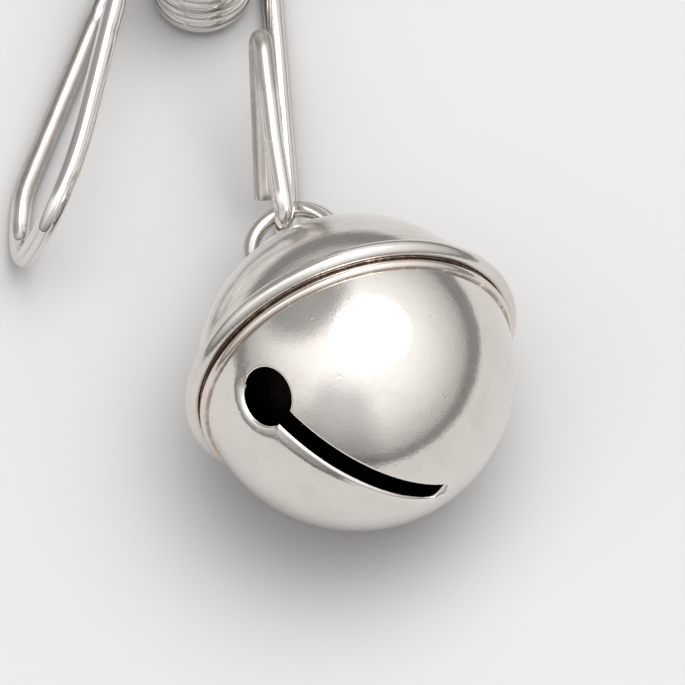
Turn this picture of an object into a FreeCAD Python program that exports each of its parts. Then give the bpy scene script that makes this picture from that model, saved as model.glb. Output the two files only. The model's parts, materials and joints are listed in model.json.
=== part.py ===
import FreeCAD
import Part
import math
import os

# Crotal bell on a sprung wire clip, lying on a flat surface.
# Millimetres, +Z up. The origin is on the surface, under the middle of the whole part.
#
# The clip is one wire: a close-wound coil on a vertical axis, and on each side of it an arm
# with a jaw loop at one end and a long handle loop at the other. The bell hangs by its staple
# from the right handle loop. It is two pressed shells joined by a rolled rim, with a loose
# pellet inside.

doc = FreeCAD.newDocument("SleighBell")
sheet = doc.addObject("Spreadsheet::Sheet", "Sizes")

SIZES = [
    # alias, value, what it is
    ("wire_radius", 1.0, "clip wire"),
    ("coil_radius", 3.86, "coil axis to the middle of the wire"),
    ("coil_turns", 5.5, "turns between the two arms"),
    ("low_level", 1.0, "height of the strands that lie on the surface"),
    ("high_level", 13.2, "height of the upper strands"),
    ("lead_run", 4.5, "straight lead from each end of the coil"),
    ("coil_x", -5.76, "coil axis"),
    ("coil_y", 18.12, "coil axis"),
    ("clip_turn", -4.72, "turn of the clip's centre line from +Y"),
    ("jaw_reach", 23.0, "coil axis to the jaw bars"),
    ("jaw_gap", 0.3, "free gap between the closed jaw bars"),
    ("shell_radius", 15.05, "outside of both shells"),
    ("shell_wall", 0.6, "sheet thickness"),
    ("seam_height", 1.55, "rolled rim above the shells' common centre"),
    ("rim_radius", 15.66, "middle of the rolled rim"),
    ("rim_roll", 0.85, "radius of the roll"),
    ("flange_radius", 15.95, "edge of the lower shell's flange, inside the roll"),
    ("flange_half", 0.3, "half of the flange's thickness"),
    ("lip_roll", 0.52, "radius of the raised lip under the rim"),
    ("lip_height", 0.02, "lip's height at the shells' common centre"),
    ("hole_radius", 2.85, "round end of the keyhole slot"),
    ("hole_tilt", 66.2, "round end, measured from the lower pole"),
    ("slot_width", 1.9, "narrow part of the keyhole slot"),
    ("slot_past_pole", 17.0, "how far the slot runs past the lower pole"),
    ("slot_azimuth", 229.7, "side of the bell that the round end is on"),
    ("staple_radius", 0.8, "staple wire"),
    ("bow_radius", 4.3, "staple's arch, to the middle of the wire"),
    ("bow_height", 16.4, "centre of the arch above the shells' centre"),
    ("bow_offset", -0.7, "staple's middle, off the bell's axis"),
    ("clinch_height", 12.75, "bent-in ends of the staple"),
    ("clinch_bend", 1.0, "bend radius of the turned-in ends"),
    ("clinch_end", 1.2, "where the turned-in ends stop, from the staple's middle"),
    ("pellet_radius", 3.3, "pellet"),
    ("pellet_gap", 0.25, "play between pellet and shell"),
    ("link_x", 2.35, "upright of the right handle, which the staple hangs on"),
    ("link_y", -10.64, "upright of the right handle"),
    ("link_gap", 0.3, "play between the upright and the staple's arch"),
    ("bell_pitch", 16.6, "how far the slotted pole points above level"),
    ("bell_heading", 19.7, "turn of the slotted pole from -Y towards +X"),
    ("bell_roll", -8.6, "turn of the staple's plane about the bell's own axis"),
]

for row, (alias, value, note) in enumerate(SIZES, start=1):
    sheet.set("A%d" % row, note)
    sheet.set("B%d" % row, str(value))
    sheet.setAlias("B%d" % row, alias)
doc.recompute()


def size(alias):
    """The value of one cell of the sheet."""
    return float(sheet.get(alias))


def bind(obj, **links):
    """Drive properties of an object from the sheet."""
    for name, expression in links.items():
        obj.setExpression(name, expression)
    return obj


def primitive(kind, name, position=(0, 0, 0), rotation=None, **links):
    """A Part primitive with its sizes bound to the sheet."""
    obj = doc.addObject("Part::" + kind, name)
    bind(obj, **links)
    obj.Placement = FreeCAD.Placement(FreeCAD.Vector(*position), rotation or FreeCAD.Rotation())
    return obj


def fuse(name, shapes):
    obj = doc.addObject("Part::MultiFuse", name)
    obj.Shapes = shapes
    return obj


def cut(name, base, tool):
    obj = doc.addObject("Part::Cut", name)
    obj.Base = base
    obj.Tool = tool
    return obj


def bent_path(corners):
    """Straight runs joined by tangent arcs; each corner is (point, bend radius)."""
    points = [FreeCAD.Vector(*point) for point, radius in corners]
    edges = []
    here = points[0]
    for index in range(1, len(points) - 1):
        radius = corners[index][1]
        back = (points[index - 1] - points[index]).normalize()
        ahead = (points[index + 1] - points[index]).normalize()
        half = back.getAngle(ahead) / 2
        reach = radius / math.tan(half)
        start = points[index] + back * reach
        end = points[index] + ahead * reach
        inward = (back + ahead).normalize()
        middle = points[index] + inward * (radius / math.sin(half) - radius)
        if (start - here).Length > 1e-4:
            edges.append(Part.LineSegment(here, start).toShape())
        edges.append(Part.Arc(start, middle, end).toShape())
        here = end
    edges.append(Part.LineSegment(here, points[-1]).toShape())
    return Part.Wire(edges)


def swept_wire(label, path, radius_alias, frenet=False):
    """A round wire swept along a path."""
    spine = doc.addObject("Part::Feature", label + "_path")
    spine.Shape = path
    section = doc.addObject("Part::Circle", label + "_section")
    bind(section, Radius=radius_alias)
    first = path.OrderedEdges[0]
    heading = first.tangentAt(first.FirstParameter)
    if first.Orientation == "Reversed":
        heading = first.tangentAt(first.LastParameter) * -1
    turn = FreeCAD.Rotation(FreeCAD.Vector(0, 0, 1), heading)
    section.Placement = FreeCAD.Placement(path.OrderedVertexes[0].Point, turn)
    sweep = doc.addObject("Part::Sweep", label)
    sweep.Sections = [section]
    sweep.Spine = (spine, ["Edge%d" % (i + 1) for i in range(len(path.Edges))])
    sweep.Solid = True
    sweep.Frenet = frenet
    sweep.Label = label
    return sweep


# Clip ---------------------------------------------------------------------------------------

LOW = size("low_level")
HIGH = size("high_level")
CENTRE_LINE = FreeCAD.Rotation(FreeCAD.Vector(0, 0, 1), size("clip_turn"))
COIL = FreeCAD.Vector(size("coil_x"), size("coil_y"), 0)


def beside_line(across, along, level):
    """A point given across and along the clip's centre line, from the coil's axis."""
    point = COIL + CENTRE_LINE.multVec(FreeCAD.Vector(across, along, level))
    return (point.x, point.y, point.z)


JAW_BAR = size("jaw_gap") / 2 + size("wire_radius")
JAW = [
    # across, along, bend radius: the wave of one jaw, from its bar back to the neck
    (JAW_BAR, size("jaw_reach"), 1.6),
    (JAW_BAR + 2.7, size("jaw_reach") - 5.0, 3.0),
    (JAW_BAR + 0.2, size("jaw_reach") - 10.0, 5.0),
]
BESIDE_COIL = size("coil_radius") + 2 * size("wire_radius") + 0.45


# The leads go on at the coil's own slope, so its ends stand in from the strands' two levels.
TURN_LENGTH = 2 * math.pi * size("coil_radius")
PITCH = (HIGH - LOW) / (size("coil_turns") + 2 * size("lead_run") / TURN_LENGTH)
LEAD_RISE = PITCH * size("lead_run") / TURN_LENGTH


def jaw_loop(side, start_level, end_level):
    """From the coil's end out to the jaw bar at one level, and back past the coil at the other."""
    coil_level = start_level - side * LEAD_RISE
    out = [(beside_line(side * size("coil_radius"), 0, coil_level), 0)]
    out.append((beside_line(side * size("coil_radius"), size("lead_run"), start_level), 6.0))
    out += [(beside_line(side * x, y, start_level), bend) for x, y, bend in reversed(JAW)]
    out += [(beside_line(side * x, y, end_level), bend) for x, y, bend in JAW]
    out.append((beside_line(side * BESIDE_COIL, 2.5, end_level), 8.0))
    return out


LEFT_HANDLE = [
    ((-17.43, -3.4, HIGH), 50.0),
    ((-20.33, -11.1, HIGH), 5.0),
    ((-23.43, -11.1, LOW), 5.0),
    ((-22.88, -3.3, LOW), 12.0),
    ((-14.73, 18.1, LOW), 0),
]
LINK_X = size("link_x")
LINK_Y = size("link_y")
RIGHT_HANDLE = [
    ((2.6, -3.5, LOW), 45.0),
    ((LINK_X, LINK_Y, LOW), 4.0),
    ((LINK_X, LINK_Y, HIGH), 3.0),
    ((1.07, -2.1, HIGH), 40.0),
    ((-0.05, 8.4, HIGH), 1.3),
    ((-0.3, 8.4, HIGH - 2.7), 1.3),
    ((0.27, -4.8, LOW + 3.0), 0),
]

left_path = bent_path(jaw_loop(-1, LOW, HIGH) + LEFT_HANDLE)
right_path = bent_path(jaw_loop(1, HIGH, LOW) + RIGHT_HANDLE)
left_arm = swept_wire("clip_left_arm", left_path, "Sizes.wire_radius")
right_arm = swept_wire("clip_right_arm", right_path, "Sizes.wire_radius")

coil_path = Part.makeHelix(PITCH, PITCH * size("coil_turns"), size("coil_radius"))
coil_path.rotate(FreeCAD.Vector(), FreeCAD.Vector(0, 0, 1), 180 + size("clip_turn"))
coil_path.translate(COIL + FreeCAD.Vector(0, 0, LOW + LEAD_RISE))
coil = swept_wire("clip_coil", coil_path, "Sizes.wire_radius", frenet=True)

# Bell: every piece is made about the shells' common centre, with +Z towards the staple ---------

inner_radius = "Sizes.shell_radius - Sizes.shell_wall"

outer_ball = primitive("Sphere", "DomeOutside", Radius="Sizes.shell_radius")
roll = primitive("Torus", "RimRoll", Radius1="Sizes.rim_radius", Radius2="Sizes.rim_roll")
bind(roll, **{"Placement.Base.z": "Sizes.seam_height"})
dome_mass = fuse("DomeMass", [outer_ball, roll])
dome_hollow = primitive("Sphere", "DomeInside", Radius=inner_radius)
below_seam = primitive("Cylinder", "BelowSeam", Radius="Sizes.shell_radius", Height="2 * Sizes.shell_radius")
bind(below_seam, **{"Placement.Base.z": "Sizes.seam_height + Sizes.flange_half - 2 * Sizes.shell_radius"})
flange_seat = primitive("Cylinder", "FlangeSeat",
                        Radius="Sizes.flange_radius", Height="2 * Sizes.flange_half")
bind(flange_seat, **{"Placement.Base.z": "Sizes.seam_height - Sizes.flange_half"})
staple_holes = []
for side in (-1, 1):
    leg_hole = primitive("Cylinder", "LegHole", Radius="Sizes.staple_radius", Height="Sizes.shell_radius")
    bind(leg_hole, **{"Placement.Base.x": "Sizes.bow_offset + %d * Sizes.bow_radius" % side})
    staple_holes.append(leg_hole)
dome_tools = fuse("DomeTools", [dome_hollow, below_seam, flange_seat] + staple_holes)
upper_shell = cut("bell_upper_shell", dome_mass, dome_tools)

bowl_ball = primitive("Sphere", "BowlOutside", Radius="Sizes.shell_radius", Angle1="-90", Angle2="0")
collar = primitive("Cylinder", "Collar",
                   Radius="Sizes.shell_radius", Height="Sizes.seam_height + Sizes.flange_half")
flange = primitive("Cylinder", "Flange", Radius="Sizes.flange_radius", Height="2 * Sizes.flange_half")
bind(flange, **{"Placement.Base.z": "Sizes.seam_height - Sizes.flange_half"})
lip = primitive("Torus", "Lip", Radius1="Sizes.shell_radius", Radius2="Sizes.lip_roll")
bind(lip, **{"Placement.Base.z": "Sizes.lip_height"})
bowl_mass = fuse("BowlMass", [bowl_ball, collar, flange, lip])
bowl_hollow = primitive("Sphere", "BowlInside", Radius=inner_radius)
collar_hollow = primitive("Cylinder", "CollarInside", Radius=inner_radius, Height="Sizes.shell_radius")
facing = FreeCAD.Rotation(FreeCAD.Vector(0, 0, 1), size("slot_azimuth"))
lean = FreeCAD.Rotation(FreeCAD.Vector(0, 1, 0), 180 - size("hole_tilt"))
hole = primitive("Cylinder", "SlotHole", rotation=facing * lean,
                 Radius="Sizes.hole_radius", Height="1.25 * Sizes.shell_radius")
slot_turn = FreeCAD.Rotation(FreeCAD.Vector(0, 1, 0), 90 + size("slot_past_pole"))
slot_side = (facing * slot_turn).multVec(FreeCAD.Vector(0, -size("slot_width") / 2, 0))
slot = primitive("Box", "SlotCut", position=tuple(slot_side), rotation=facing * slot_turn,
                 Length="1.25 * Sizes.shell_radius", Width="Sizes.slot_width",
                 Height="1.25 * Sizes.shell_radius")
bowl_tools = fuse("BowlTools", [bowl_hollow, collar_hollow, hole, slot])
lower_shell = cut("bell_lower_shell", bowl_mass, bowl_tools)

bow = size("bow_radius")
crown = size("bow_height")
clinch = size("clinch_height")
middle = size("bow_offset")
arch_top = FreeCAD.Vector(middle, 0, crown + bow)


def staple_leg(side):
    """One leg, from its bent-in end inside the dome up to the arch."""
    return bent_path([((middle + side * size("clinch_end"), 0, clinch), 0),
                      ((middle + side * bow, 0, clinch), size("clinch_bend")),
                      ((middle + side * bow, 0, crown), 0)])


arch = Part.Arc(FreeCAD.Vector(middle - bow, 0, crown), arch_top, FreeCAD.Vector(middle + bow, 0, crown))
staple_path = Part.Wire(Part.__sortEdges__(
    staple_leg(-1).Edges + [arch.toShape()] + staple_leg(1).Edges))
staple = swept_wire("bell_staple", staple_path, "Sizes.staple_radius")

pellet = primitive("Sphere", "bell_pellet", Radius="Sizes.pellet_radius")
pellet.Label = "bell_pellet"

# The bell's place: it rests on its rim, with the staple round the right handle loop ------------

pitch = math.radians(size("bell_pitch"))
heading = math.radians(size("bell_heading"))
to_staple = FreeCAD.Vector(-math.sin(heading) * math.cos(pitch),
                           math.cos(heading) * math.cos(pitch), -math.sin(pitch))
level_across = FreeCAD.Vector(math.cos(heading), math.sin(heading), 0)
square = FreeCAD.Rotation(level_across, to_staple.cross(level_across), to_staple, "ZXY")
bell_turn = square * FreeCAD.Rotation(FreeCAD.Vector(0, 0, 1), size("bell_roll"))
rim_foot = size("rim_radius") * math.cos(pitch) + size("rim_roll")
bell_height = rim_foot + size("seam_height") * math.sin(pitch)
link_reach = (size("staple_radius") + size("wire_radius") + size("link_gap")) / math.cos(pitch)
reach = size("bow_height") + size("bow_radius") - link_reach
arch_middle = bell_turn.multVec(FreeCAD.Vector(middle, 0, reach))
bell_centre = FreeCAD.Vector(LINK_X - arch_middle.x, LINK_Y - arch_middle.y, bell_height)

doc.recompute()
for piece in (upper_shell, lower_shell, staple):
    piece.Placement = FreeCAD.Placement(bell_centre, bell_turn)
pellet_drop = size("shell_radius") - size("shell_wall") - size("pellet_radius") - size("pellet_gap")
pellet.Placement.Base = bell_centre - FreeCAD.Vector(0, 0, pellet_drop)
doc.recompute()

# Check and write ---------------------------------------------------------------------------

for obj in doc.Objects:
    if "Invalid" in obj.State or "Error" in obj.State:
        raise RuntimeError("%s did not recompute: %s" % (obj.Name, obj.State))

NODES = [coil, left_arm, right_arm, upper_shell, lower_shell, staple, pellet]
os.makedirs("parts", exist_ok=True)
for node in NODES:
    shape = node.Shape
    if shape.isNull() or not shape.isValid() or len(shape.Solids) != 1:
        raise RuntimeError("%s is not one valid solid" % node.Label)
for node in NODES:
    box = node.Shape.BoundBox
    print("%-18s volume %8.1f  x %6.1f %6.1f  y %6.1f %6.1f  z %6.2f %6.2f" % (
        node.Label, node.Shape.Volume, box.XMin, box.XMax, box.YMin, box.YMax, box.ZMin, box.ZMax))
    node.Shape.exportStep("parts/%s.step" % node.Label)
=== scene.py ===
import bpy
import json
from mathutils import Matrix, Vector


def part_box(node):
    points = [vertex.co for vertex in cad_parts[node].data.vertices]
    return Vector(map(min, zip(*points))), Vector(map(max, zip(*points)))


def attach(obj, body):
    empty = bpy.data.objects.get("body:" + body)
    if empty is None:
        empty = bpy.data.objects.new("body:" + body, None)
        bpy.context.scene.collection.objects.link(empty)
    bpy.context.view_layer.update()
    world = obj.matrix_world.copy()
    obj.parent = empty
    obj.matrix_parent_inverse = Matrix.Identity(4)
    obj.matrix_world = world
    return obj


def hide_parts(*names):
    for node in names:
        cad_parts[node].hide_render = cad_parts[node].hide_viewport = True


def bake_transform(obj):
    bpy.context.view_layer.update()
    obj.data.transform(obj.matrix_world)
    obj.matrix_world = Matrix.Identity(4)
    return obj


bl_info = {
    "name": "Sleigh Bell",
    "version": (1, 0, 0),
    "blender": (4, 5, 0),
    "location": "View3D > Sidebar > Sleigh Bell",
    "description": "Builds a polished sleigh bell on a sprung wire clip, with its stage",
    "category": "Object",
}

import json
import math

import bpy
import numpy as np
from mathutils import Matrix, Vector

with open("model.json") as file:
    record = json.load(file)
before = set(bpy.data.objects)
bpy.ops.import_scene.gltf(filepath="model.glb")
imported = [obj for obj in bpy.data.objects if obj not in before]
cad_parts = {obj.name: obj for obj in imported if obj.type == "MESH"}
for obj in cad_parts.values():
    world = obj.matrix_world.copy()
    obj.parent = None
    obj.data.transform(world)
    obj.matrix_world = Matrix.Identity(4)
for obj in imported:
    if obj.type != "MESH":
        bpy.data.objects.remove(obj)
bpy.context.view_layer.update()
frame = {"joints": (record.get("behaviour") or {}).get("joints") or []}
JOINTS = {joint["name"]: joint for joint in frame["joints"]}

MM = 0.001
LENS_SENSOR_MM = 36.0
GREASE = (0.46, 0.425, 0.39)
# painted shade and reflection tone: darkens the wire's dull runs and the dome's spinning rings
PAINTED_SHADE_AND_REFLECTION = (0.46, 0.425, 0.395)
# painted reflection tone for the dark streaks along the clip wire
PAINTED_REFLECTION_STREAK = (0.27, 0.245, 0.22)
CLOUDED = (0.58, 0.535, 0.49)
BARE_EDGE = (0.93, 0.91, 0.88)
# painted shade for the inside of the shells
PAINTED_INSIDE_SHADE = (0.17, 0.15, 0.13)
PELLET_STEEL, PELLET_RUST = (0.30, 0.295, 0.29), (0.20, 0.175, 0.155)
# painted shadow colour for the floor close under the pieces, and a painted reflection colour for the
# far floor that only mirror rays see
SHADED_FLOOR, REFLECTED_DARK_FLOOR = (0.17, 0.166, 0.162), (0.19, 0.186, 0.181)

# ---------------------------------------------------------------------------------------------
# Sizes and colours
# ---------------------------------------------------------------------------------------------


def length(name, description, default):
    """A length in metres that a user may change."""
    return bpy.props.FloatProperty(name=name, description=description, default=default,
                                   unit="LENGTH", precision=5)


def angle(name, description, degrees):
    """An angle that a user may change."""
    return bpy.props.FloatProperty(name=name, description=description,
                                   default=math.radians(degrees), unit="ROTATION")


def colour(name, description, default):
    """A linear colour that a user may change."""
    return bpy.props.FloatVectorProperty(name=name, description=description, default=default,
                                         subtype="COLOR", size=3, min=0.0, max=1.0)


def factor(name, description, default):
    """A plain number from 0 to 1 that a user may change."""
    return bpy.props.FloatProperty(name=name, description=description, default=default,
                                   min=0.0, max=1.0)


class ClipSizes(bpy.types.PropertyGroup):
    """Sizes and finish of the wire clip."""

    wire: length("Wire", "Diameter of the clip's wire", 2.0 * MM)
    coil: length("Coil radius", "From the coil's axis to the middle of its wire", 3.86 * MM)
    turns: bpy.props.FloatProperty(name="Turns", description="Turns of the coil", default=5.5)
    lead: length("Lead", "Straight lead from each end of the coil", 4.5 * MM)
    reach: length("Jaw reach", "From the coil's axis to the jaw bars", 23.0 * MM)
    gap: length("Jaw gap", "Free gap between the closed jaw bars", 0.3 * MM)
    turn: angle("Turn", "Turn of the clip's middle line from +Y", -4.72)
    steel: colour("Steel", "Colour of the clip's wire", (0.74, 0.715, 0.69))
    dull: factor("Roughness", "Roughness of the clip's wire", 0.055)


class BellSizes(bpy.types.PropertyGroup):
    """Sizes and finish of the bell."""

    shell: length("Shell", "Outside radius of both shells", 15.05 * MM)
    wall: length("Wall", "Thickness of the sheet", 0.6 * MM)
    seam: length("Seam", "Height of the rolled rim above the shells' centre", 1.55 * MM)
    rim: length("Rim", "Radius of the rolled rim's middle line", 15.66 * MM)
    roll: length("Roll", "Radius of the roll itself", 0.85 * MM)
    flange: length("Flange", "Edge of the flange inside the roll", 15.95 * MM)
    lip: length("Lip", "Radius of the raised lip under the rim", 0.52 * MM)
    lip_height: length("Lip height", "Lip above the shells' centre", 0.02 * MM)
    hole: length("Hole", "Radius of the slot's round end", 2.85 * MM)
    slot: length("Slot", "Width of the slot", 1.9 * MM)
    hole_tilt: angle("Hole tilt", "Round end, measured from the lower pole", 66.2)
    past_pole: angle("Past pole", "How far the slot runs past the lower pole", 17.0)
    azimuth: angle("Slot side", "Side of the bell that the round end is on", 229.7)
    edge: length("Edge", "Rounding of the slot's edge", 0.33 * MM)
    pressed: length("Pressed", "How far one side of the slot is pressed in", 0.22 * MM)
    burr: length("Burr", "Height of the burr at the slot's square end", 0.22 * MM)
    staple: length("Staple wire", "Diameter of the staple's wire", 1.6 * MM)
    bow: length("Bow", "Radius of the staple's arch", 4.3 * MM)
    bow_height: length("Bow height", "Centre of the arch above the shells' centre", 16.4 * MM)
    bow_offset: length("Bow offset", "Middle of the staple, off the bell's axis", -0.7 * MM)
    foot: length("Staple foot", "Turned-in legs above the shells' centre", 12.75 * MM)
    clinch: length("Clinch", "From the staple's middle to the end of each leg", 1.2 * MM)
    pellet: length("Pellet", "Radius of the pellet", 3.3 * MM)
    pitch: angle("Pitch", "How far the slotted pole points above level", 16.6)
    heading: angle("Heading", "Turn of the slotted pole from -Y towards +X", 19.7)
    spin: angle("Spin", "Turn of the staple's plane about the bell's axis", -8.6)
    nickel: colour("Nickel", "Colour of the plated shells", (0.735, 0.70, 0.668))
    tarnish: colour("Tarnish", "Colour of the groove under the rim", (0.30, 0.225, 0.17))
    brass: colour("Brass", "Colour of the lip where the plating is thin", (0.76, 0.655, 0.575))
    dull: factor("Roughness", "Roughness of the shells", 0.095)
    staple_dull: factor("Staple roughness", "Roughness of the staple", 0.11)


class StageSizes(bpy.types.PropertyGroup):
    """The floor, the light and the camera."""

    floor: colour("Floor", "Colour of the floor", (0.565, 0.562, 0.558))
    zenith: bpy.props.FloatProperty(name="Zenith", description="Light from straight above",
                                    default=1.58)
    horizon: bpy.props.FloatProperty(name="Horizon", description="Light from the sides",
                                     default=0.42)
    key: bpy.props.FloatProperty(name="Key", description="Extra light from the overhead softbox",
                                 default=4.2)
    dark_side: angle("Dark side", "Side of the room that the viewer darkens", 255.0)
    sheet: length("Sheet", "Radius of the pale sheet, as the reflections see it", 205 * MM)
    # painted shadow: how far the floor's colour is darkened round the pieces
    painted_shadow_reach: length("Contact", "Reach of the deeper floor colour round the pieces", 14 * MM)
    elevation: angle("Elevation", "Camera above the horizon", 69.0)
    distance: length("Distance", "Camera from the floor at the middle of the view", 2.4)
    width: length("View width", "Width of floor that the view takes in", 65.24 * MM)


# ---------------------------------------------------------------------------------------------
# Shader maths
# ---------------------------------------------------------------------------------------------


class Value:
    """A number on a node's socket, which takes part in Python expressions."""

    def __init__(self, shader, socket):
        self.shader = shader
        self.socket = socket

    def _math(self, operation, *values):
        return self.shader.node("ShaderNodeMath", {"operation": operation}, *values)[0]

    def __add__(self, other):
        return self._math("ADD", self, other)

    def __radd__(self, other):
        return self._math("ADD", other, self)

    def __sub__(self, other):
        return self._math("SUBTRACT", self, other)

    def __rsub__(self, other):
        return self._math("SUBTRACT", other, self)

    def __mul__(self, other):
        return self._math("MULTIPLY", self, other)

    def __rmul__(self, other):
        return self._math("MULTIPLY", other, self)

    def between(self, low, high):
        """0 below low, 1 above high, and smooth between them; low may be the larger."""
        ramp = {"interpolation_type": "SMOOTHSTEP", "clamp": True}
        if low > high:
            return 1 - self.between(high, low)
        return self.shader.node("ShaderNodeMapRange", ramp, self, low, high, 0.0, 1.0)[0]

    def clamp(self):
        return self.shader.node("ShaderNodeClamp", {}, self, 0.0, 1.0)[0]


class Shader:
    """The nodes of one material or of the world."""

    def __init__(self, owner):
        owner.use_nodes = True
        self.tree = owner.node_tree
        self.tree.nodes.clear()

    def node(self, kind, settings, *values, **named):
        """A node of that kind; its settings first, then its inputs by order or by name."""
        node = self.tree.nodes.new(kind)
        for key, value in settings.items():
            setattr(node, key, value)
        pairs = list(zip(node.inputs, values))
        pairs += [(node.inputs[key.replace("_", " ")], value) for key, value in named.items()]
        for socket, value in pairs:
            if isinstance(value, Value):
                self.tree.links.new(value.socket, socket)
            else:
                socket.default_value = value
        return [Value(self, socket) for socket in node.outputs]

    def place(self):
        """The place on the object, in metres."""
        return self.node("ShaderNodeTexCoord", {})[3]

    def stretch(self, scale):
        """The place on the object, scaled by three numbers."""
        return self.node("ShaderNodeMapping", {}, self.place(), Scale=scale)[0]

    def noise(self, scale, detail=3.0, rough=0.5, at=None, twist=0.0):
        """Noise about 0.5, with scale lumps to a metre, or as many to one unit of the place at."""
        return self.node("ShaderNodeTexNoise", {}, at or self.place(), Scale=scale, Detail=detail,
                         Roughness=rough, Distortion=twist)[0]

    def mask(self, name):
        """A number kept on the piece's vertices."""
        return self.node("ShaderNodeAttribute", {"attribute_name": name})[2]

    def mix(self, amount, first, second):
        """From the first colour to the second."""
        result = self.node("ShaderNodeMix", {"data_type": "RGBA"})[2]
        inputs = result.socket.node.inputs
        for socket, value in ((inputs[0], amount), (inputs[6], first), (inputs[7], second)):
            if isinstance(value, Value):
                self.tree.links.new(value.socket, socket)
            elif value is amount:
                socket.default_value = value
            else:
                socket.default_value = (*value[:3], 1.0)
        return result

    def bump(self, height, strength, depth):
        """A normal bent by a height, which depth turns into metres."""
        return self.node("ShaderNodeBump", {}, Strength=strength, Distance=depth, Height=height)[0]

    def surface(self, **sockets):
        """A Principled surface as the material's result."""
        result = self.node("ShaderNodeBsdfPrincipled", {}, **sockets)[0]
        self.node("ShaderNodeOutputMaterial", {}, result)


def grain(shader, fine, coarse):
    """Fine polishing grain over slow unevenness, each about 0.5 in the middle."""
    return shader.noise(fine, 4.0, 0.6), shader.noise(coarse, 2.0, 0.5)


def drawn_steel(sizes):
    """Bright drawn wire: lengthwise die lines, duller patches, and rub marks from the forming tools,
    with painted shade and reflection darkening its dull runs and painted dark reflection streaks along
    it.
    """
    material = bpy.data.materials.new("drawn_steel")
    shader = Shader(material)
    fine, coarse = grain(shader, 4200.0, 330.0)
    wave = shader.noise(190.0, 1.0, 0.4)
    along = shader.mask("along")
    around = shader.mask("around")
    line_place = shader.node("ShaderNodeCombineXYZ", {}, along * 60.0, around * 38.0, 0.0)[0]
    lines = shader.noise(1.0, 3.0, 0.6, at=line_place)
    marks = shader.mask("marks")
    pits = shader.noise(1900.0, 2.0, 0.5).between(0.66, 0.74)
    dirt = coarse.between(0.52, 0.72) * 0.35 + marks * shader.noise(1500.0).between(0.45, 0.6)
    base = shader.mix(dirt.clamp() * 0.55, sizes.steel, GREASE)
    dull = shader.mask("dull")
    # painted reflection: dark lengthwise streaks in the wire's colour stand in for dark surroundings
    # mirrored in it
    reflection_streak_place = shader.node("ShaderNodeCombineXYZ", {}, along * 26.0, around * 7.0, 3.0)[0]
    reflection_streaks = shader.noise(1.0, 3.0, 0.6, at=reflection_streak_place).between(0.52, 0.64)
    base = shader.mix(reflection_streaks * 0.72, base, PAINTED_REFLECTION_STREAK)
    # painted shade and reflection: along the dull runs the colour darkens; the extra roughness below is
    # a real loss of polish
    dull_and_painted_shade = dull * (shader.noise(520.0, 4.0, 0.65).between(0.35, 0.7) * 0.35 + 0.65)
    base = shader.mix(dull_and_painted_shade, base, PAINTED_SHADE_AND_REFLECTION)
    rough = sizes.dull + dull * 0.24 + (lines - 0.5) * 0.09 + (coarse - 0.5) * 0.10
    rough = rough + marks * 0.12 + pits * 0.10
    height = wave * 0.022 + coarse * 0.007 + lines * 0.0020 + fine * 0.0008 - pits * 0.004
    height = height - marks * shader.noise(1100.0) * 0.03
    shader.surface(Base_Color=base, Metallic=1.0, Roughness=rough.clamp(),
                   Normal=shader.bump(height, 1.0, MM))
    return material


def plated_nickel(name, sizes, dull, seam=False):
    """Satin-polished nickel plate, with fine scratches, faint clouding and nicked bright edges; on the
    shells, painted dark reflection rings on the dome and painted shade on the inside.
    """
    material = bpy.data.materials.new(name)
    shader = Shader(material)
    fine, coarse = grain(shader, 4600.0, 230.0)
    medium = shader.noise(1150.0, 3.0, 0.6)
    cloud = shader.noise(150.0, 4.0, 0.6)
    buff = shader.noise(420.0, 3.0, 0.6, at=shader.stretch((1.0, 9.0, 3.0)), twist=0.4)
    nicks = shader.noise(900.0, 2.0, 0.45).between(0.69, 0.75)
    specks = shader.noise(2400.0, 2.0, 0.5).between(0.62, 0.72)
    stains = (cloud.between(0.42, 0.72) * 0.40 + specks * 0.25).clamp()
    base = shader.mix(stains, sizes.nickel, CLOUDED)
    rough = dull + (cloud - 0.5) * 0.12 + (fine - 0.5) * 0.10 + (medium - 0.5) * 0.06
    height = coarse * 0.035 + medium * 0.010 + fine * 0.0060 + buff * 0.004 - nicks * 0.010
    if seam:
        groove = shader.mask("groove")
        spun = shader.mask("spun")
        ring_place = shader.node("ShaderNodeCombineXYZ", {}, spun * 2600.0, 0.0, 0.0)[0]
        rings = shader.noise(1.0, 3.0, 0.7, at=ring_place)
        dome = shader.mask("dome")
        height = height + rings * (dome * 0.010 + 0.0015)
        # painted reflection: the spinning rings darken the dome's colour, standing in for dark things
        # mirrored in it; their bumps above are real
        base = shader.mix(dome * rings.between(0.50, 0.68) * 0.55, base, PAINTED_SHADE_AND_REFLECTION)
        lip = shader.mask("lip")
        edge = shader.mask("edge")
        grime = groove * shader.noise(1300.0, 4.0, 0.6).between(0.25, 0.55)
        base = shader.mix(lip * shader.noise(300.0).between(0.3, 0.6) * 0.75, base, sizes.brass)
        base = shader.mix(grime * 0.85, base, sizes.tarnish)
        base = shader.mix(edge * 0.5, base, BARE_EDGE)
        # painted shade: the inside of the shells is darkened, where the shells keep out the light
        inside = shader.mask("inside")
        base = shader.mix(inside, base, PAINTED_INSIDE_SHADE)
        rough = rough + grime * 0.28 - edge * 0.06 + inside * 0.12
        height = height - grime * 0.01 + edge * shader.noise(2600.0) * 0.006
    shader.surface(Base_Color=base, Metallic=1.0, Roughness=rough.clamp(),
                   Normal=shader.bump(height, 1.0, MM))
    return material


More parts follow.
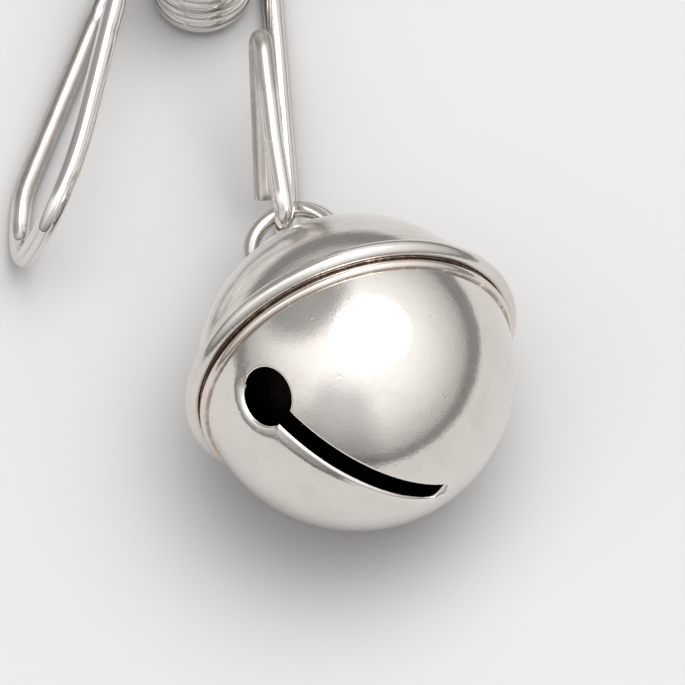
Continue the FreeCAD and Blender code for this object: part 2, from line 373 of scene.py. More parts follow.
def tumbled_steel():
    """The pellet's dark steel, pitted by rolling about."""
    material = bpy.data.materials.new("tumbled_steel")
    shader = Shader(material)
    fine, coarse = grain(shader, 3000.0, 500.0)
    dents = shader.noise(1100.0, 2.0, 0.5).between(0.60, 0.70)
    base = shader.mix(coarse.between(0.4, 0.7), PELLET_STEEL, PELLET_RUST)
    rough = 0.38 + (fine - 0.5) * 0.2 + dents * 0.1
    shader.surface(Base_Color=base, Metallic=1.0, Roughness=rough.clamp(),
                   Normal=shader.bump(fine * 0.4 - dents, 0.3, 0.05 * MM))
    return material


# ---------------------------------------------------------------------------------------------
# Meshes
# ---------------------------------------------------------------------------------------------


def piece(name, vertices, faces, material, masks=None):
    """A smooth-shaded mesh object, with numbers kept on its vertices for the material."""
    mesh = bpy.data.meshes.new(name)
    mesh.from_pydata([tuple(v) for v in vertices], [], [tuple(f) for f in faces])
    mesh.validate()
    mesh.polygons.foreach_set("use_smooth", [True] * len(mesh.polygons))
    for key, values in (masks or {}).items():
        layer = mesh.attributes.new(key, "FLOAT", "POINT")
        layer.data.foreach_set("value", np.asarray(values, dtype=np.float32))
    mesh.update()
    obj = bpy.data.objects.new(name, mesh)
    bpy.context.scene.collection.objects.link(obj)
    obj.data.materials.append(material)
    return obj


def crease(obj, degrees):
    """Keeps the edges that turn more than this sharp in the shading."""
    obj.data.set_sharp_from_angle(angle=math.radians(degrees))


def bent_path(corners, step):
    """Points along straight runs joined by tangent arcs; each corner is (point, bend radius)."""
    places = [Vector(place) for place, radius in corners]
    out = [places[0]]

    def run_to(end):
        start = out[-1]
        count = max(1, int((end - start).length / (step * 3)))
        out.extend(start.lerp(end, i / count) for i in range(1, count + 1))

    for index in range(1, len(places) - 1):
        radius = corners[index][1]
        back = (places[index - 1] - places[index]).normalized()
        ahead = (places[index + 1] - places[index]).normalized()
        half = back.angle(ahead) / 2
        reach = radius / math.tan(half)
        start = places[index] + back * reach
        centre = places[index] + (back + ahead).normalized() * (radius / math.sin(half))
        run_to(start)
        axis = (start - centre).cross(places[index] - centre).normalized()
        sweep = math.pi - 2 * half
        count = max(3, int(radius * sweep / step) + 1)
        spoke = start - centre
        for i in range(1, count + 1):
            out.append(centre + Matrix.Rotation(sweep * i / count, 3, axis) @ spoke)
    run_to(places[-1])
    return out


def distances(path):
    """Distance along the path at each of its points."""
    out = [0.0]
    for a, b in zip(path, path[1:]):
        out.append(out[-1] + (b - a).length)
    return out


def tube(name, path, radius, material, around=40, round_ends=(0.0, 0.0), marks=(), dull_shaded_runs=()):
    """A round wire along a path, with its ends cut square and eased, and worn at its marks.

    Each mark is (place, half length, depth, side): a dent from a forming tool. Each dull shaded run is
    (start, end): a stretch between two places where the wire is rougher from lost polish and its colour
    is darkened by painted shade and reflection.
    """
    path = [Vector(p) for p in path]
    runs = distances(path)

    def nearest(place):
        return runs[min(range(len(path)), key=lambda i: (path[i] - Vector(place)).length)]

    marks = [(nearest(place), half, bite, facing) for place, half, bite, facing in marks]
    dull_shaded_runs = [sorted((nearest(start), nearest(end))) for start, end in dull_shaded_runs]
    heads = [(b - a).normalized() for a, b in zip(path, path[1:])]
    tangents = [heads[0]] + [(a + b).normalized() for a, b in zip(heads, heads[1:])] + [heads[-1]]
    side = tangents[0].orthogonal().normalized()
    run = 0.0
    rings = []
    for index, (place, tangent) in enumerate(zip(path, tangents)):
        if index:
            run += (place - path[index - 1]).length
            side = tangents[index - 1].rotation_difference(tangent) @ side
        side = (side - tangent * side.dot(tangent)).normalized()
        rings.append((place, tangent, side, run))
    ease = radius * 0.12
    rows = []
    for end, order in ((round_ends[0], 1), (round_ends[1], -1)):
        place, tangent, across, at = rings[0] if order == 1 else rings[-1]
        if end:
            into = tangent * order
            lip = [(place, radius - ease, at), (place + into * ease * 0.3, radius - ease * 0.3, at),
                   (place + into * ease, radius, at)]
            lip = [(p, tangent, across, r, d) for p, r, d in lip]
            rows.append(lip if order == 1 else lip[::-1])
        else:
            rows.append([(place, tangent, across, radius, at)])
    body = [(p, t, s, radius, d) for p, t, s, d in rings[1:-1]]
    rows = rows[0] + body + rows[1]
    vertices, along, turn, worn, dull = [], [], [], [], []
    for place, tangent, across, size, at in rows:
        other = tangent.cross(across)
        # each ring's share of a dull run, which roughens the wire and darkens its colour with painted
        # shade and reflection
        fade = [min(1.0, max(0.0, min(at - start, end - at) / (1.5 * MM) + 0.5))
                for start, end in dull_shaded_runs]
        for k in range(around):
            phi = 2 * math.pi * k / around
            ray = across * math.cos(phi) + other * math.sin(phi)
            depth, wear = 0.0, 0.0
            for where, half, bite, facing in marks:
                nearness = max(0.0, 1 - abs(at - where) / half)
                aim = max(0.0, ray.dot(Vector(facing).normalized()))
                hit = nearness ** 0.5 * max(0.0, aim - 0.55) / 0.45
                depth += bite * hit
                wear = max(wear, hit)
            vertices.append(place + ray * (size - depth))
            dull.append(max(fade, default=0.0))
            along.append(at)
            turn.append(abs(phi / math.pi - 1))
            worn.append(wear)
    faces = []
    for row in range(len(rows) - 1):
        for k in range(around):
            a, b = row * around + k, row * around + (k + 1) % around
            faces.append((a, b, b + around, a + around))
    faces.append(tuple(reversed(range(around))))
    last = (len(rows) - 1) * around
    faces.append(tuple(range(last, last + around)))
    masks = {"along": along, "around": turn, "marks": worn, "dull": dull}
    obj = piece(name, vertices, faces, material, masks)
    crease(obj, 50)
    return obj


def turned(profile, steps):
    """Vertices and faces of an outline (radius, height) turned about Z; radius 0 is one vertex."""
    vertices, rings, faces = [], [], []
    for radius, height in profile:
        if radius < 1e-7:
            rings.append([len(vertices)])
            vertices.append((0.0, 0.0, height))
            continue
        start = len(vertices)
        for k in range(steps):
            phi = 2 * math.pi * k / steps
            vertices.append((radius * math.cos(phi), radius * math.sin(phi), height))
        rings.append(list(range(start, start + steps)))
    for low, high in zip(rings, rings[1:]):
        for k in range(steps):
            nxt = (k + 1) % steps
            if len(low) == 1:
                faces.append((low[0], high[nxt], high[k]))
            elif len(high) == 1:
                faces.append((low[k], low[nxt], high[0]))
            else:
                faces.append((low[k], low[nxt], high[nxt], high[k]))
    return vertices, faces


def arc(centre, radius, start, end, count):
    """Points (radius, height) on an arc of an outline; angles in degrees from outward."""
    angles = np.radians(np.linspace(start, end, count))
    return [(centre[0] + radius * math.cos(a), centre[1] + radius * math.sin(a)) for a in angles]


def eased_corner(before, corner, after, count=6):
    """A small rounded corner between two points of an outline."""
    out = []
    for i in range(1, count):
        s = i / count
        out.append(tuple((1 - s) ** 2 * b + 2 * s * (1 - s) * c + s * s * a
                         for b, c, a in zip(before, corner, after)))
    return out


# ---------------------------------------------------------------------------------------------
# Where things are
# ---------------------------------------------------------------------------------------------


def joint_place(name):
    return Vector(JOINTS[name]["pos_m"])


def clip_levels(sizes):
    """Heights of the lower and upper strands' middles."""
    low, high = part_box("clip_left_arm")
    return low[2] + sizes.wire / 2, high[2] - sizes.wire / 2


def coil_pitch(sizes):
    """The coil's pitch, and how far each straight lead rises."""
    low, high = clip_levels(sizes)
    turn = 2 * math.pi * sizes.coil
    pitch = (high - low) / (sizes.turns + 2 * sizes.lead / turn)
    return pitch, pitch * sizes.lead / turn


def beside_line(sizes, across, along, level):
    """A place given across and along the clip's middle line, from the coil's axis."""
    coil = joint_place("clip_squeeze")
    point = Matrix.Rotation(sizes.turn, 3, "Z") @ Vector((across, along, 0.0))
    return Vector((coil.x + point.x, coil.y + point.y, level))


def jaw_loop(sizes, side, start_level, end_level):
    """From the coil's end out to the jaw bar at one level, and back past the coil at the other."""
    bar = sizes.gap / 2 + sizes.wire / 2
    wave = [(bar, sizes.reach, 1.6 * MM),
            (bar + 2.7 * MM, sizes.reach - 5.0 * MM, 3.0 * MM),
            (bar + 0.2 * MM, sizes.reach - 10.0 * MM, 5.0 * MM)]
    beside_coil = sizes.coil + sizes.wire + 0.45 * MM
    coil_level = start_level - side * coil_pitch(sizes)[1]
    out = [(beside_line(sizes, side * sizes.coil, 0, coil_level), 0),
           (beside_line(sizes, side * sizes.coil, sizes.lead, start_level), 6.0 * MM)]
    out += [(beside_line(sizes, side * x, y, start_level), bend) for x, y, bend in wave[::-1]]
    out += [(beside_line(sizes, side * x, y, end_level), bend) for x, y, bend in wave]
    out.append((beside_line(sizes, side * beside_coil, 2.5 * MM, end_level), 8.0 * MM))
    return out


def bell_frame(sizes):
    """The bell's own frame: its middle at the shells' common centre, +Z towards the staple."""
    cos, sin = math.cos, math.sin
    up = Vector((-sin(sizes.heading) * cos(sizes.pitch),
                 cos(sizes.heading) * cos(sizes.pitch), -sin(sizes.pitch)))
    across = Vector((cos(sizes.heading), sin(sizes.heading), 0))
    turn = Matrix((across, up.cross(across), up)).transposed()
    turn = turn @ Matrix.Rotation(sizes.spin, 3, "Z")
    return Matrix.Translation(joint_place("pellet_roll")) @ turn.to_4x4()


def in_bell(sizes, vertices):
    """Places in the bell's own frame as places in the row's frame."""
    place = bell_frame(sizes)
    return [place @ Vector(v) for v in vertices]


# ---------------------------------------------------------------------------------------------
# Pieces
# ---------------------------------------------------------------------------------------------


def settle(obj, body, node):
    """The piece rides on its body and stands for its CAD node, which it hides."""
    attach(obj, body)
    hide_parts(node)


def make_coil(sizes):
    """The close-wound coil, which twists between the two arms."""
    pitch, rise = coil_pitch(sizes)
    low = clip_levels(sizes)[0] + rise
    count = int(sizes.turns * 90)
    middle = joint_place("clip_squeeze")
    path = []
    for i in range(count + 1):
        turns = sizes.turns * i / count
        phi = math.pi + sizes.turn + 2 * math.pi * turns
        out = Vector((math.cos(phi), math.sin(phi), 0.0)) * sizes.coil
        path.append((middle.x + out.x, middle.y + out.y, low + pitch * turns))
    obj = tube("clip_coil_wire", path, sizes.wire / 2, bpy.data.materials["drawn_steel"])
    low + pitch * sizes.turns
    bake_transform(obj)
    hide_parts("clip_coil")


def make_left_arm(sizes):
    """The left jaw and handle, with the wire's free end beside the coil."""
    low, high = clip_levels(sizes)
    handle = [((-17.43 * MM, -3.4 * MM, high), 50.0 * MM),
              ((-20.33 * MM, -11.1 * MM, high), 5.0 * MM),
              ((-23.43 * MM, -11.1 * MM, low), 5.0 * MM),
              ((-22.88 * MM, -3.3 * MM, low), 12.0 * MM),
              ((-14.73 * MM, 18.1 * MM, low), 0)]
    path = bent_path(jaw_loop(sizes, -1, low, high) + handle, 0.22 * MM)
    upper, inner = Vector((-0.3, -0.2, 1.0)), Vector((1.0, -0.3, 0.5))
    marks = [((-15.7 * MM, 14.9 * MM, low), 0.5 * MM, 0.22 * MM, upper),
             ((-12.2 * MM, 8.2 * MM, high), 0.6 * MM, 0.07 * MM, inner),
             ((-18.6 * MM, -6.6 * MM, high), 1.0 * MM, 0.07 * MM, inner),
             ((-20.3 * MM, -10.6 * MM, high * 0.8), 0.6 * MM, 0.09 * MM, upper)]
    # a dull run: the wire is rougher here, and painted shade and reflection darken its colour
    runs = [((-15.7 * MM, 14.9 * MM, low), (-22.9 * MM, -4.0 * MM, low))]
    obj = tube("clip_left_wire", path, sizes.wire / 2, bpy.data.materials["drawn_steel"],
               round_ends=(0.0, 1.0), marks=marks, dull_shaded_runs=runs)
    settle(obj, "clip_left", "clip_left_arm")


def make_right_arm(sizes):
    """The right jaw and handle; the staple hangs on its upright, and its end is folded back."""
    low, high = clip_levels(sizes)
    link = joint_place("bell_swing")
    handle = [((2.6 * MM, -3.5 * MM, low), 45.0 * MM),
              ((link.x, link.y, low), 4.0 * MM),
              ((link.x, link.y, high), 3.0 * MM),
              ((1.07 * MM, -2.1 * MM, high), 40.0 * MM),
              ((-0.05 * MM, 8.4 * MM, high), 1.3 * MM),
              ((-0.3 * MM, 8.4 * MM, high - 2.7 * MM), 1.3 * MM),
              ((0.27 * MM, -4.8 * MM, low + 3.0 * MM), 0)]
    path = bent_path(jaw_loop(sizes, 1, high, low) + handle, 0.22 * MM)
    upper, inner = Vector((0.0, 0.3, 1.0)), Vector((-0.6, -0.6, 0.5))
    fold = high - 1.3 * MM
    marks = [((0.0, 7.8 * MM, high), 0.5 * MM, 0.20 * MM, upper),
             ((-0.2 * MM, 8.4 * MM, fold), 0.4 * MM, 0.15 * MM, Vector((-1.0, 0.0, 0.4))),
             ((2.2 * MM, -9.4 * MM, high), 0.6 * MM, 0.10 * MM, inner),
             ((link.x, link.y, 11.3 * MM), 0.5 * MM, 0.10 * MM, Vector((0.4, -1.0, 0.2))),
             ((0.1 * MM, -3.2 * MM, 4.6 * MM), 0.7 * MM, 0.12 * MM, upper)]
    # a dull run: the wire is rougher here, and painted shade and reflection darken its colour
    runs = [((0.5 * MM, 3.0 * MM, high), (0.27 * MM, -4.8 * MM, low + 3.0 * MM))]
    obj = tube("clip_right_wire", path, sizes.wire / 2, bpy.data.materials["drawn_steel"],
               round_ends=(0.0, 1.0), marks=marks, dull_shaded_runs=runs)
    settle(obj, "clip_right", "clip_right_arm")


def make_upper_shell(sizes):
    """The dome, with its rim rolled into the bead round the bell's middle."""
    shell, inner = sizes.shell, sizes.shell - sizes.wall
    bead = (sizes.rim, sizes.seam)
    gap = 0.02 * MM
    # the dome's outside and the roll cross where both circles pass through one point
    reach = math.hypot(*bead)
    along = (reach ** 2 + shell ** 2 - sizes.roll ** 2) / (2 * reach)
    rise = math.sqrt(shell ** 2 - along ** 2)
    tilt = math.atan2(bead[1], bead[0])
    meet = (along * math.cos(tilt) - rise * math.sin(tilt),
            along * math.sin(tilt) + rise * math.cos(tilt))
    dome_end = math.degrees(math.atan2(meet[1], meet[0])) + 5.5
    roll_start = math.degrees(math.atan2(meet[1] - bead[1], meet[0] - bead[0])) - 34
    roll_end = -180 + math.degrees(math.acos((sizes.rim - shell - gap) / sizes.roll))
    dome = arc((0, 0), shell, 90, dome_end, 70)
    roll = arc(bead, sizes.roll, roll_start, roll_end, 40)
    half = sizes.wall / 2
    seat = [(shell + gap, sizes.seam - half), (sizes.flange, sizes.seam - half),
            (sizes.flange, sizes.seam + half), (inner * 0.992, sizes.seam + half)]
    start = math.degrees(math.asin((sizes.seam + half) / inner))
    inside = arc((0, 0), inner, start, 90, 40)
    outline = dome + eased_corner(dome[-1], meet, roll[0], 14) + roll + seat + inside
    outline[0] = (0.0, shell)
    outline[-1] = (0.0, inner)
    vertices, faces = turned(outline, 288)
    faces = [tuple(reversed(face)) for face in faces]
    groove = []
    for v in vertices:
        radius = math.hypot(v[0], v[1])
        under = min(1.0, max(0.0, (sizes.rim - 0.1 * MM - radius) / (0.2 * MM)))
        under *= 1.0 if v[2] < sizes.seam else 0.0
        above = 1 - min(1.0, math.hypot(radius - meet[0], v[2] - meet[1]) / (0.3 * MM))
        groove.append(max(under, above * 0.8))
    inside_mask = [1.0 if math.hypot(*v) < inner + 0.01 * MM else 0.0 for v in vertices]
    masks = {"groove": groove, "lip": [0.0] * len(vertices), "edge": [0.0] * len(vertices),
             "inside": inside_mask, "dome": [1.0] * len(vertices), "spun": [v[2] for v in vertices]}
    obj = piece("bell_dome", in_bell(sizes, vertices), faces, bpy.data.materials["nickel_shell"], masks)
    crease(obj, 60)
    settle(obj, "bell", "bell_upper_shell")


def keyhole_distance(sizes, lam, mu):
    """Distance outside the keyhole's outline, for places lam along the slot and mu off it."""
    radius = sizes.shell
    cos_hole = np.cos(mu) * np.cos(lam - sizes.hole_tilt)
    hole = radius * np.arccos(np.clip(cos_hole, -1, 1)) - radius * math.asin(sizes.hole / radius)
    off = np.abs(radius * np.sin(mu)) - sizes.slot / 2
    past = radius * (-sizes.past_pole - lam)
    beyond = radius * (lam - sizes.hole_tilt)
    short = np.maximum(past, beyond)
    outside = np.hypot(np.maximum(off, 0), np.maximum(short, 0))
    slot = np.where((off > 0) | (short > 0), outside, np.maximum(off, short))
    return np.minimum(hole, slot)


def graded(stops):
    """Angles in degrees from one stop to the next, each stretch at its own spacing."""
    out = [stops[0][0]]
    for (here, step), (there, _) in zip(stops, stops[1:]):
        count = max(1, round((there - here) / step))
        out += [here + (there - here) * i / count for i in range(1, count + 1)]
    return np.radians(out)


def keyhole_grid(sizes):
    """Places on a half-ball, fine near the keyhole, with their distance outside its outline.

    The last two results are the grid's squares to keep, and the corners that those squares use.
    """
    hole_angle = math.degrees(sizes.hole_tilt)
    reach = math.degrees(math.asin(sizes.hole / sizes.shell)) + 1.2
    end = -math.degrees(sizes.past_pole)
    edge = math.degrees(math.asin(sizes.slot / 2 / sizes.shell))
    lam = graded([(-90, 1.6), (end - 5, 0.6), (end - 1.5, 0.15), (end, 0.15), (end + 1.5, 0.6),
                  (hole_angle - reach, 0.2), (hole_angle + reach, 0.8), (90, 1)])
    side = [(edge, 0.1), (edge + 1.2, 0.2), (reach, 0.8), (reach + 8, 1.6), (90, 1)]
    mu = graded([(-90, 1.6), (-reach - 8, 0.8), (-reach, 0.2), (-edge - 1.2, 0.1), (-edge, 0.1),
                 (-edge + 1.0, 0.2), (edge - 1.0, 0.1)] + side)
    rows, columns = len(lam), len(mu)
    lam, mu = np.meshgrid(lam, mu, indexing="ij")
    away = keyhole_distance(sizes, lam, mu)
    keep = (away[:-1, :-1] + away[1:, :-1] + away[:-1, 1:] + away[1:, 1:]) / 4 > 0
    used = np.zeros((rows, columns), dtype=bool)
    unused = used.copy()
    for i, j in ((0, 0), (1, 0), (0, 1), (1, 1)):
        used[i:rows - 1 + i, j:columns - 1 + j] |= keep
        unused[i:rows - 1 + i, j:columns - 1 + j] |= ~keep
    # the corners round the cut slide onto the keyhole's outline
    border = used & unused
    small = 1e-5
    for _ in range(4):
        away = keyhole_distance(sizes, lam, mu)
        slope_l = (keyhole_distance(sizes, lam + small, mu) - away) / small
        slope_m = (keyhole_distance(sizes, lam, mu + small) - away) / small
        size = slope_l ** 2 + slope_m ** 2 + 1e-12
        lam = np.where(border, lam - away * slope_l / size, lam)
        mu = np.where(border, mu - away * slope_m / size, mu)
    away = np.where(border, 0.0, keyhole_distance(sizes, lam, mu))
    return lam, mu, away, keep, used


def bowl_surfaces(sizes, lam, mu, away):
    """The sheet's outer and inner places, with the cut edge rounded over and one side pressed in."""
    facing = np.array([math.cos(sizes.azimuth), math.sin(sizes.azimuth), 0.0])
    pole = np.array([0.0, 0.0, -1.0])
    ray = sum(part[..., None] * way for part, way in ((np.cos(mu) * np.cos(lam), pole),
                                                      (np.cos(mu) * np.sin(lam), facing),
                                                      (np.sin(mu), np.cross(pole, facing))))
    along, off = np.degrees(lam), np.degrees(mu)
    over = np.clip(sizes.edge - away, 0, sizes.edge)
    dip = sizes.edge - np.sqrt(np.maximum(sizes.edge ** 2 - over ** 2, 0))
    pressed = np.clip(1 - away / (1.3 * MM), 0, 1) ** 2 * sizes.pressed
    pressed *= np.clip((along - 2) / 18, 0, 1) * np.clip(off / 6, 0, 1)
    outer = ray * (sizes.shell - np.minimum(dip, 0.8 * sizes.edge) - pressed)[..., None]
    # a burr stands up just inside the slot's square end
    burr = ((along + math.degrees(sizes.past_pole) + 1.0) / 0.9) ** 2 + (off / 2.4) ** 2
    outer = outer + ray * (sizes.burr * np.exp(-burr) * (away > 0.05 * MM))[..., None]
    return outer, ray * (sizes.shell - sizes.wall)


def bowl_sheet(sizes):
    """The slotted half-ball as vertices and faces, and each outer vertex's distance from the cut."""
    lam, mu, away, keep, used = keyhole_grid(sizes)
    outer, inside = bowl_surfaces(sizes, lam, mu, away)
    rows, columns = lam.shape
    count = int(used.sum())
    index = -np.ones((rows, columns), dtype=int)
    index[used] = np.arange(count)
    faces = []
    # an edge that two faces share is met once each way; those met one way only are the border
    open_edges = set()
    for i, j in zip(*np.nonzero(keep)):
        loop = (index[i, j], index[i + 1, j], index[i + 1, j + 1], index[i, j + 1])
        faces.append(loop)
        faces.append(tuple(v + count for v in reversed(loop)))
        for a, b in zip(loop, loop[1:] + loop[:1]):
            if (b, a) in open_edges:
                open_edges.remove((b, a))
            else:
                open_edges.add((a, b))
    brim = {*index[0], *index[-1], *index[:, 0], *index[:, -1]}
    for a, b in sorted(open_edges):
        if not (a in brim and b in brim):
            faces.append((b, a, a + count, b + count))
    return np.concatenate([outer[used], inside[used]]), faces, away[used]


def seam_ring(sizes):
    """Collar, flange and lip turned as one ring, with how far each vertex is groove and lip."""
    shell, inner = sizes.shell, sizes.shell - sizes.wall
    half = sizes.wall / 2
    lip = arc((shell, sizes.lip_height), sizes.lip, 96, -84, 24)
    ring = [(inner, 0.0), (inner, sizes.seam + half), (sizes.flange, sizes.seam + half),
            (sizes.flange, sizes.seam - half), (shell, sizes.seam - half)]
    ring += [(shell - 0.04 * MM, lip[0][1] + 0.12 * MM)] + lip
    ring += [(shell - 0.05 * MM, lip[-1][1] - 0.03 * MM), (inner, 0.0)]
    vertices, faces = turned(ring, 288)
    groove, lip_mask = [], []
    for x, y, level in vertices:
        high = min(1.0, max(0.0, (level - 0.38 * MM) / (0.14 * MM)))
        low = min(1.0, max(0.0, (sizes.lip_height - sizes.lip * 0.86 - level) / (0.05 * MM)))
        groove.append(max(high, low * 0.8))
        lip_mask.append(float(math.hypot(x, y) > shell + 0.12 * MM and level < 0.5 * MM))
    return vertices, [tuple(reversed(face)) for face in faces], groove, lip_mask


def make_lower_shell(sizes):
    """The bowl with its keyhole slot, the collar and flange in the seam, and the raised lip."""
    sheet, faces, away = bowl_sheet(sizes)
    ring, ring_faces, groove, lip = seam_ring(sizes)
    start, count = len(sheet), len(away)
    faces += [tuple(v + start for v in face) for face in ring_faces]
    places = [Vector(v) for v in sheet] + [Vector(v) for v in ring]
    plain = [0.0] * start
    edge = [*np.clip(1 - away / (0.45 * MM), 0, 1)] + [0.0] * (count + len(ring))
    ring_inside = [float(math.hypot(x, y) < sizes.shell - sizes.wall + 0.01 * MM) for x, y, z in ring]
    masks = {"groove": plain + groove, "lip": plain + lip, "edge": edge,
             "inside": [0.0] * count + [1.0] * count + ring_inside,
             "dome": [0.0] * len(places), "spun": [v[2] for v in places]}
    obj = piece("bell_bowl", in_bell(sizes, places), faces, bpy.data.materials["nickel_shell"], masks)
    crease(obj, 60)
    settle(obj, "bell", "bell_lower_shell")


def make_staple(sizes):
    """The bent bow that the bell hangs by, its legs through the dome and turned in."""
    bow, top = sizes.bow, sizes.bow_height
    corners = [((sizes.clinch, 0, sizes.foot), 0), ((bow, 0, sizes.foot), 1.0 * MM), ((bow, 0, top), 0)]
    leg = bent_path(corners, 0.15 * MM)
    arch = [Vector((bow * math.cos(a), 0, top + bow * math.sin(a)))
            for a in np.linspace(0, math.pi, 60)]
    other = [Vector((-v.x, v.y, v.z)) for v in leg[::-1]]
    middle = Vector((sizes.bow_offset, 0, 0))
    path = in_bell(sizes, [v + middle for v in leg + arch[1:-1] + other])
    obj = tube("bell_staple_wire", path, sizes.staple / 2, bpy.data.materials["nickel_staple"],
               around=36, round_ends=(1.0, 1.0))
    settle(obj, "bell", "bell_staple")


def make_pellet(sizes):
    """The loose ball inside, slightly out of round from its casting."""
    low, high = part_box("bell_pellet")
    centre = (Vector(low) + Vector(high)) / 2
    outline = arc((0, 0), sizes.pellet, -90, 90, 49)
    outline[0], outline[-1] = (0.0, -sizes.pellet), (0.0, sizes.pellet)
    vertices, faces = turned(outline, 72)
    shaped = []
    for v in vertices:
        dent = 0.03 * MM * (math.sin(v[0] * 1900) * math.sin(v[1] * 1700 + 1) + 1) / 2
        shaped.append(centre + Vector(v) * (1 - dent / sizes.pellet))
    obj = piece("bell_pellet_ball", shaped, faces, bpy.data.materials["tumbled_steel"])
    settle(obj, "pellet", "bell_pellet")


# ---------------------------------------------------------------------------------------------
# Stage
# ---------------------------------------------------------------------------------------------


def make_floor(sizes):
    """A pale floor, wide enough to fill the lower half of every reflection, with painted shadow close
    under the pieces and a darker far floor painted into reflections only.
    """
    vertices, faces = turned([(0.0, 0.0), (0.08, 0.0), (0.4, 0.0), (2.5, 0.0)], 96)
    faces = [tuple(reversed(face)) for face in faces]
    material = bpy.data.materials.new("pale_floor")
    shader = Shader(material)
    mottle = shader.noise(14.0, 2.0, 0.5)
    faint = tuple(c * 0.985 for c in sizes.floor)
    base = shader.mix(mottle.between(0.35, 0.65) * 0.5, sizes.floor, faint)
    bell = joint_place("pellet_roll")
    middle = (bell.x - 0.02, bell.y - 0.10, 0.0)
    out = shader.node("ShaderNodeVectorMath", {"operation": "DISTANCE"}, shader.place(), middle)[1]
    mirrored = shader.node("ShaderNodeLightPath", {})[3]
    # painted shadow: the floor's colour is darkened close under the pieces by an occlusion node, on top
    # of their cast shadow
    open_to_sky = shader.node("ShaderNodeAmbientOcclusion", {"samples": 8}, Distance=sizes.painted_shadow_reach)[1]
    base = shader.mix((1 - open_to_sky.between(0.0, 1.0)) * 0.62, base, SHADED_FLOOR)
    # painted reflection: only mirror rays see the pale sheet end a little way out, and a darker floor
    # beyond it
    far = out.between(sizes.sheet, sizes.sheet + 0.04) * mirrored
    base = shader.mix(far, base, REFLECTED_DARK_FLOOR)
    shader.surface(Base_Color=base, Roughness=0.9, Specular_IOR_Level=0.2)
    piece("floor", vertices, faces, material)


def make_sky(sizes):
    """Soft light from a wide source overhead, falling away to a dim room at the sides."""
    world = bpy.data.worlds.new("studio")
    bpy.context.scene.world = world
    shader = Shader(world)
    ray = shader.node("ShaderNodeTexCoord", {})[0]

    def vector_maths(operation, output, *values):
        return shader.node("ShaderNodeVectorMath", {"operation": operation}, *values)[output]

    rise = vector_maths("DOT_PRODUCT", 1, ray, (0.0, 0.0, 1.0))
    level_ray = vector_maths("NORMALIZE", 0, vector_maths("MULTIPLY", 0, ray, (1.0, 1.0, 0.0)))
    side = (math.cos(sizes.dark_side), math.sin(sizes.dark_side), 0.0)
    viewer = vector_maths("DOT_PRODUCT", 1, level_ray, side).between(0.78, 0.98)
    viewer = viewer * rise.between(0.98, 0.72)
    glow = rise.clamp()
    corner = Vector((-0.54, 0.57, 0.62)).normalized()
    corner = vector_maths("DOT_PRODUCT", 1, ray, tuple(corner)).between(0.82, 0.96)
    level = (sizes.horizon + glow * (sizes.zenith - sizes.horizon)) * (1 - viewer * 0.36)
    level = level * (1 - corner * 0.6) * (rise.between(0.0, 0.13) * 0.35 + 0.65)
    aim = Vector((0.19, 0.17, 0.95)).normalized()
    level = level + vector_maths("DOT_PRODUCT", 1, ray, tuple(aim)).between(0.88, 1.0) * sizes.key
    tint = shader.mix(glow, (1.0, 0.98, 0.955), (1.0, 1.0, 1.0))
    out = shader.node("ShaderNodeBackground", {}, tint, level)[0]
    shader.node("ShaderNodeOutputWorld", {}, out)


def make_camera(sizes):
    """A long lens, looking down at the bell from in front of it."""
    data = bpy.data.cameras.new("camera")
    data.sensor_width = LENS_SENSOR_MM
    data.lens = LENS_SENSOR_MM * sizes.distance / sizes.width
    data.clip_start, data.clip_end = 0.05, 10.0
    camera = bpy.data.objects.new("camera", data)
    bpy.context.scene.collection.objects.link(camera)
    middle = Vector((7.67 * MM, -17.81 * MM, 0.0))
    back = Vector((0, -math.cos(sizes.elevation), math.sin(sizes.elevation)))
    camera.location = middle + back * sizes.distance
    camera.rotation_mode = "QUATERNION"
    camera.rotation_quaternion = (-back).to_track_quat("-Z", "Y")
    bpy.context.scene.camera = camera


# ---------------------------------------------------------------------------------------------
# Operators
# ---------------------------------------------------------------------------------------------


class BELL_OT_materials(bpy.types.Operator):
    """Make the metals that the pieces share"""

    bl_idname = "bell.materials"
    bl_label = "Metals"

    def execute(self, context):
        scene = context.scene
        drawn_steel(scene.clip_sizes)
        plated_nickel("nickel_shell", scene.bell_sizes, scene.bell_sizes.dull, seam=True)
        plated_nickel("nickel_staple", scene.bell_sizes, scene.bell_sizes.staple_dull)
        tumbled_steel()
        return {"FINISHED"}


class BELL_OT_clip(bpy.types.Operator):
    """Make the wire clip: its coil and its two arms"""

    bl_idname = "bell.clip"
    bl_label = "Wire clip"

    def execute(self, context):
        sizes = context.scene.clip_sizes
        make_coil(sizes)
        make_left_arm(sizes)
        make_right_arm(sizes)
        return {"FINISHED"}


class BELL_OT_upper_shell(bpy.types.Operator):
    """Make the dome with its rolled rim"""

    bl_idname = "bell.upper_shell"
    bl_label = "Upper shell"

    def execute(self, context):
        make_upper_shell(context.scene.bell_sizes)
        return {"FINISHED"}


class BELL_OT_lower_shell(bpy.types.Operator):
    """Make the bowl with its keyhole slot"""

    bl_idname = "bell.lower_shell"
    bl_label = "Lower shell"

    def execute(self, context):
        make_lower_shell(context.scene.bell_sizes)
        return {"FINISHED"}


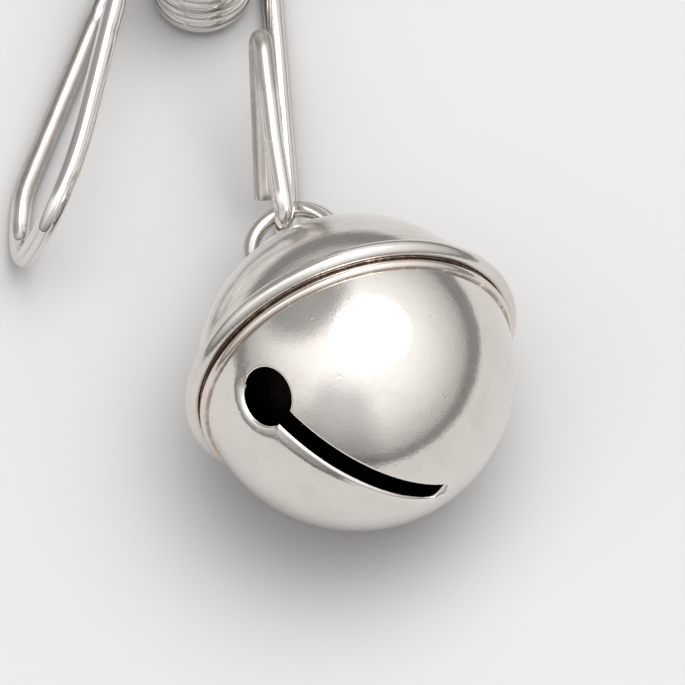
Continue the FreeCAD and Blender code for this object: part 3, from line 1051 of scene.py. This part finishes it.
class BELL_OT_staple(bpy.types.Operator):
    """Make the staple that the bell hangs by"""

    bl_idname = "bell.staple"
    bl_label = "Staple"

    def execute(self, context):
        make_staple(context.scene.bell_sizes)
        return {"FINISHED"}


class BELL_OT_pellet(bpy.types.Operator):
    """Make the loose pellet"""

    bl_idname = "bell.pellet"
    bl_label = "Pellet"

    def execute(self, context):
        make_pellet(context.scene.bell_sizes)
        return {"FINISHED"}


class BELL_OT_stage(bpy.types.Operator):
    """Make the floor, the light and the camera"""

    bl_idname = "bell.stage"
    bl_label = "Stage"

    def execute(self, context):
        sizes = context.scene.stage_sizes
        context.scene.view_settings.view_transform = "Standard"
        make_floor(sizes)
        make_sky(sizes)
        make_camera(sizes)
        return {"FINISHED"}


class BELL_PT_panel(bpy.types.Panel):
    """Lists the pieces and their sizes"""

    bl_label = "Sleigh Bell"
    bl_idname = "BELL_PT_panel"
    bl_space_type = "VIEW_3D"
    bl_region_type = "UI"
    bl_category = "Sleigh Bell"

    def draw(self, context):
        for operator in OPERATORS:
            self.layout.operator(operator.bl_idname)
        for group in GROUPS:
            values = getattr(context.scene, group)
            for key in values.__annotations__:
                self.layout.prop(values, key)


OPERATORS = (BELL_OT_materials, BELL_OT_clip, BELL_OT_upper_shell, BELL_OT_lower_shell,
             BELL_OT_staple, BELL_OT_pellet, BELL_OT_stage)
GROUPS = {"clip_sizes": ClipSizes, "bell_sizes": BellSizes, "stage_sizes": StageSizes}


def register():
    for cls in (*GROUPS.values(), *OPERATORS, BELL_PT_panel):
        bpy.utils.register_class(cls)
    for name, group in GROUPS.items():
        setattr(bpy.types.Scene, name, bpy.props.PointerProperty(type=group))


def unregister():
    for name in GROUPS:
        delattr(bpy.types.Scene, name)
    for cls in reversed((*GROUPS.values(), *OPERATORS, BELL_PT_panel)):
        bpy.utils.unregister_class(cls)


def main():
    register()
    bpy.ops.bell.materials()
    bpy.ops.bell.clip()
    bpy.ops.bell.upper_shell()
    bpy.ops.bell.lower_shell()
    bpy.ops.bell.staple()
    bpy.ops.bell.pellet()
    bpy.ops.bell.stage()
    bpy.context.view_layer.update()


if __name__ == "__main__":
    main()
